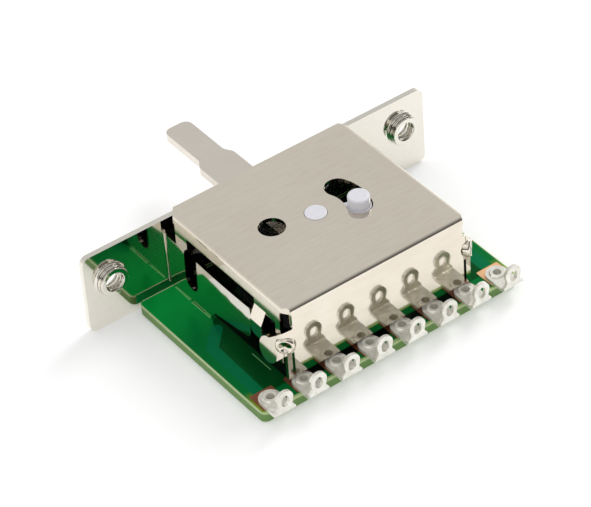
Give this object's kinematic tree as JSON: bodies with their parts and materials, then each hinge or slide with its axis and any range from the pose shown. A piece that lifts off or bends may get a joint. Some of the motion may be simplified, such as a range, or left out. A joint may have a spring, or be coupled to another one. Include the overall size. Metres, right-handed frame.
{
  "type": "guitar pickup selector switch",
  "caption": "Open-frame lever switch for a guitar: plated mounting plate with threaded collars, folded cover, printed board, row of solder lugs, flat lever.",
  "frame": {"origin": "on the outer face of the mounting plate, halfway between the axes of the two threaded screw holes", "axes": "+X along the mounting plate through both screw holes, +Y out of the plate's outer face along the lever, +Z out of the cover; the switch lies on its printed board"},
  "size_m": [0.048, 0.0431, 0.0132],
  "materials": {
    "mirror_nickel": "polished nickel plate",
    "satin_nickel": "satin nickel plate",
    "rivet_steel": "dull plated steel",
    "green_laminate": "solder mask over glass laminate",
    "tinned_brass": "tinned, dull silver",
    "bare_copper": "bare copper",
    "white_acetal": "smooth white moulding",
    "dark_acetal": "smooth dark moulding",
    "spring_steel": "bright spring steel",
    "lever_steel": "satin nickel plate"
  },
  "bodies": {
    "switch_body": {"mounting_plate": "mirror_nickel", "side_frame": "mirror_nickel", "frame_rivets": "rivet_steel", "printed_board": "green_laminate", "cover": "satin_nickel", "lug_eyelets": "tinned_brass", "copper_pads": "bare_copper", "contact_tracks": "bare_copper", "pivot_post": "white_acetal", "retaining_clip": "spring_steel", "click_strip": "spring_steel", "terminal_lug_1": "tinned_brass", "terminal_lug_2": "tinned_brass", "terminal_lug_3": "tinned_brass", "terminal_lug_4": "tinned_brass", "terminal_lug_5": "tinned_brass", "terminal_lug_6": "tinned_brass", "terminal_lug_7": "tinned_brass", "terminal_lug_8": "tinned_brass"},
    "lever_body": {"rotor": "dark_acetal", "lever": "lever_steel", "wiper_springs": "spring_steel", "click_ball": "spring_steel", "click_spring": "spring_steel"},
    "mode_arm_body": {"mode_arm": "white_acetal"}
  },
  "joints": [
    {"name": "lever_turn", "type": "hinge", "parent": "switch_body", "child": "lever_body", "pos_m": [0, -0.0121, 0.0006], "axis": [0, 0, 1], "range_deg": [-20, 20]},
    {"name": "mode_arm_turn", "type": "hinge", "parent": "switch_body", "child": "mode_arm_body", "pos_m": [0, -0.0121, 0.0041], "axis": [0, 0, 1], "range_deg": [0, 44]}
  ]
}
